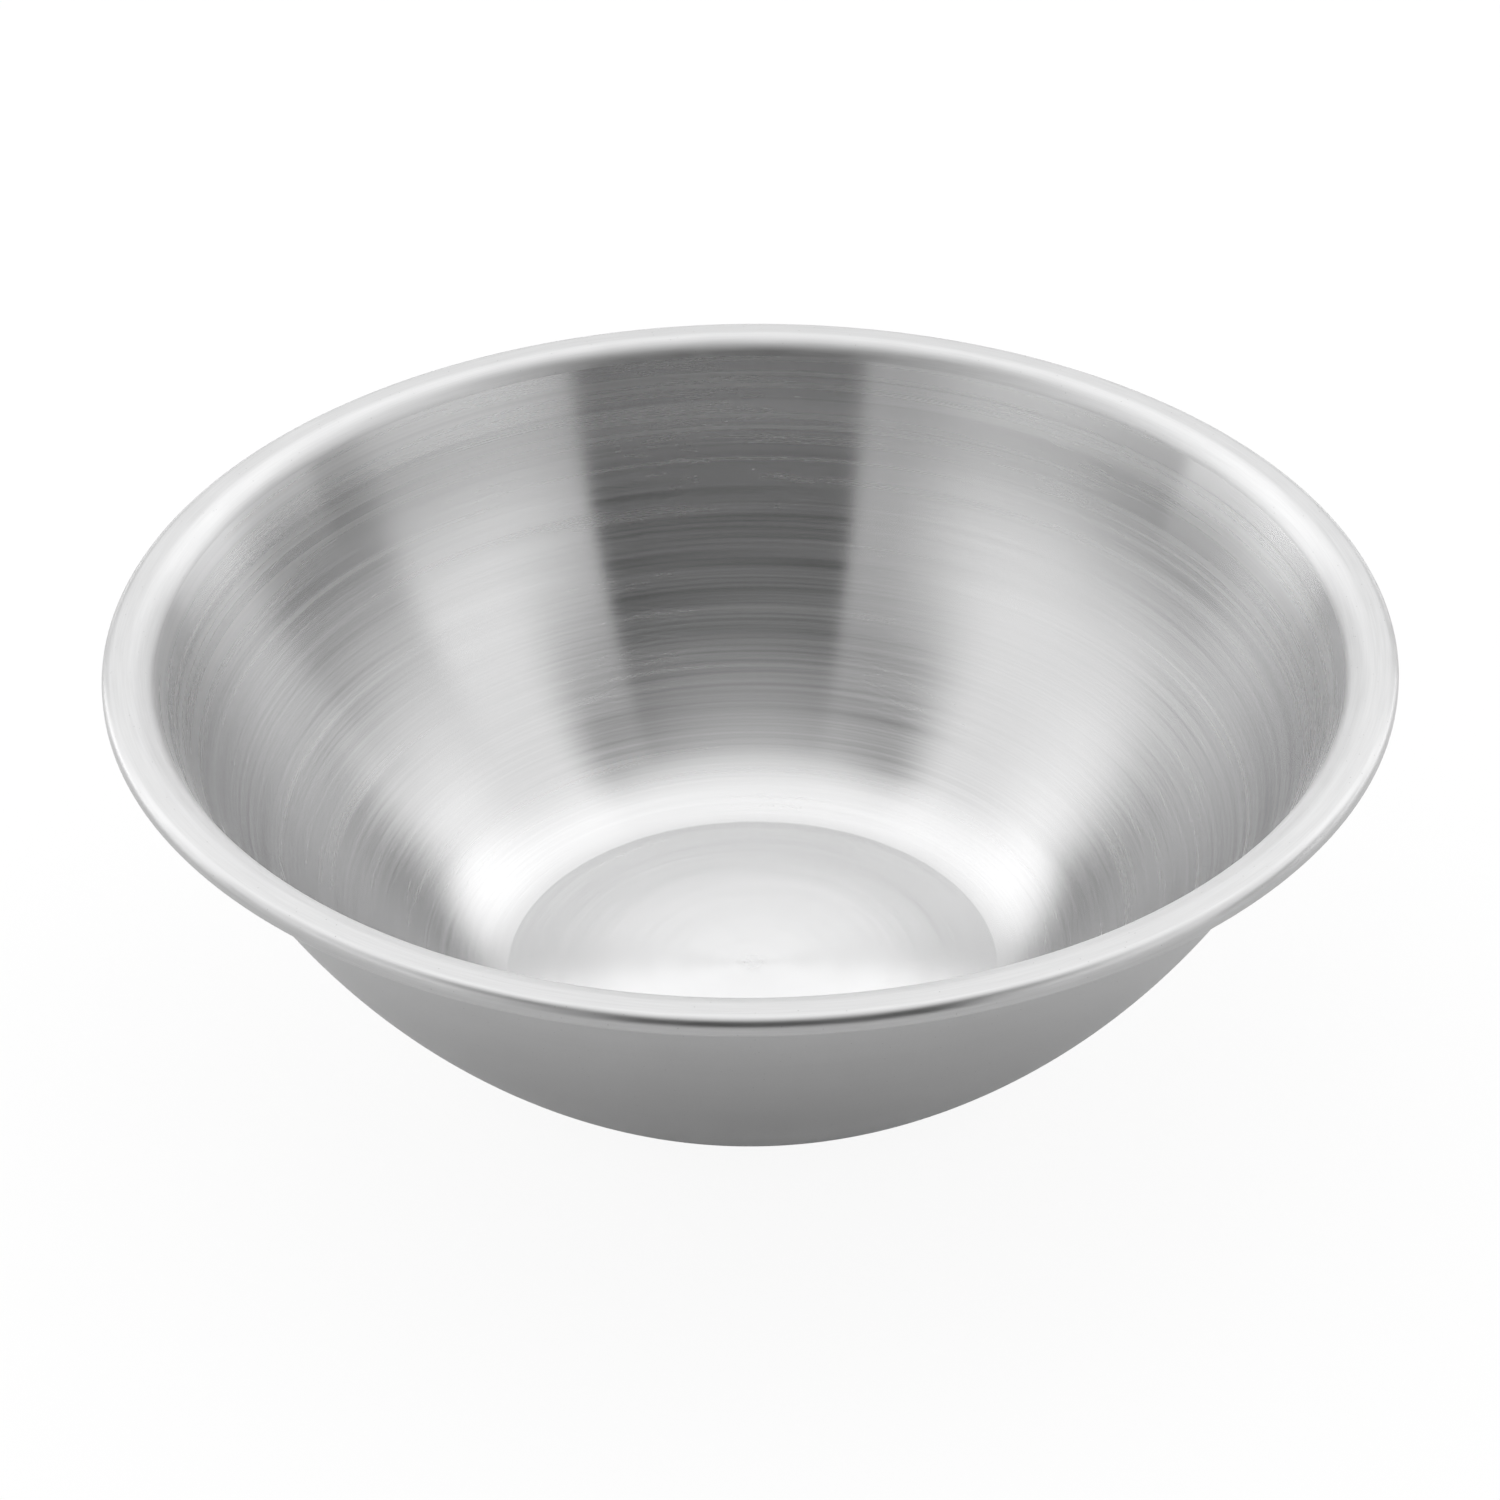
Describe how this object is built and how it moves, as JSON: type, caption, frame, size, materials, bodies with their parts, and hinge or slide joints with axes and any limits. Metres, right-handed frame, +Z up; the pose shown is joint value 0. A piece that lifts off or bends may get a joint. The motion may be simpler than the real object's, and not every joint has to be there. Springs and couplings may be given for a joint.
{
  "type": "mixing bowl",
  "caption": "Wide stainless steel mixing bowl with a flat floor, a flaring wall and a flat rim that ends in a turned-down lip.",
  "frame": {"origin": "centre of the underside of the flat base, on the bowl's axis", "axes": "+Z up along the bowl's axis, towards the mouth; the bowl is the same all round, so +X and +Y are any two directions"},
  "size_m": [0.3, 0.3, 0.098],
  "materials": {
    "bowl": "satin stainless steel, brushed round the axis on the inside, plain satin on the outside"
  },
  "bodies": {
    "root": {"bowl": "bowl"}
  },
  "joints": []
}
